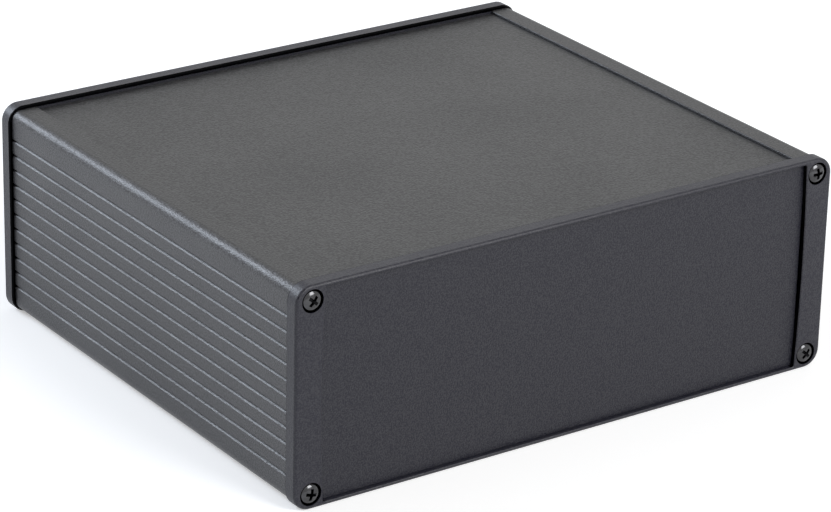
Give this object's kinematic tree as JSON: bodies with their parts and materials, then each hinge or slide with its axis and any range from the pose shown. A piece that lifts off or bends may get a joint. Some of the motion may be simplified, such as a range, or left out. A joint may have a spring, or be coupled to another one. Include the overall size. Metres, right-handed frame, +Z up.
{
  "type": "extruded aluminium enclosure",
  "caption": "Flat instrument case: grooved aluminium side extrusions with rails, slide-in cover plates, and a flat panel in a screwed bezel at each end.",
  "frame": {"origin": "centre of the footprint, on the surface that the two bezels stand on", "axes": "+X to the right seen from the front, -Y towards the front panel, +Z up"},
  "size_m": [0.17, 0.1496, 0.061],
  "materials": {
    "side_extrusions": "fine sand-textured dark grey powder coat",
    "covers": "fine sand-textured dark grey powder coat",
    "panels": "fine sand-textured dark grey powder coat",
    "bezels": "satin, finely grained",
    "screws": "glossy black plating"
  },
  "bodies": {
    "root": {"left_side_extrusion": "side_extrusions", "right_side_extrusion": "side_extrusions", "top_cover": "covers", "bottom_cover": "covers", "front_panel": "panels", "rear_panel": "panels", "front_bezel": "bezels", "rear_bezel": "bezels", "front_bezel_screws": "screws", "rear_bezel_screws": "screws"}
  },
  "joints": []
}
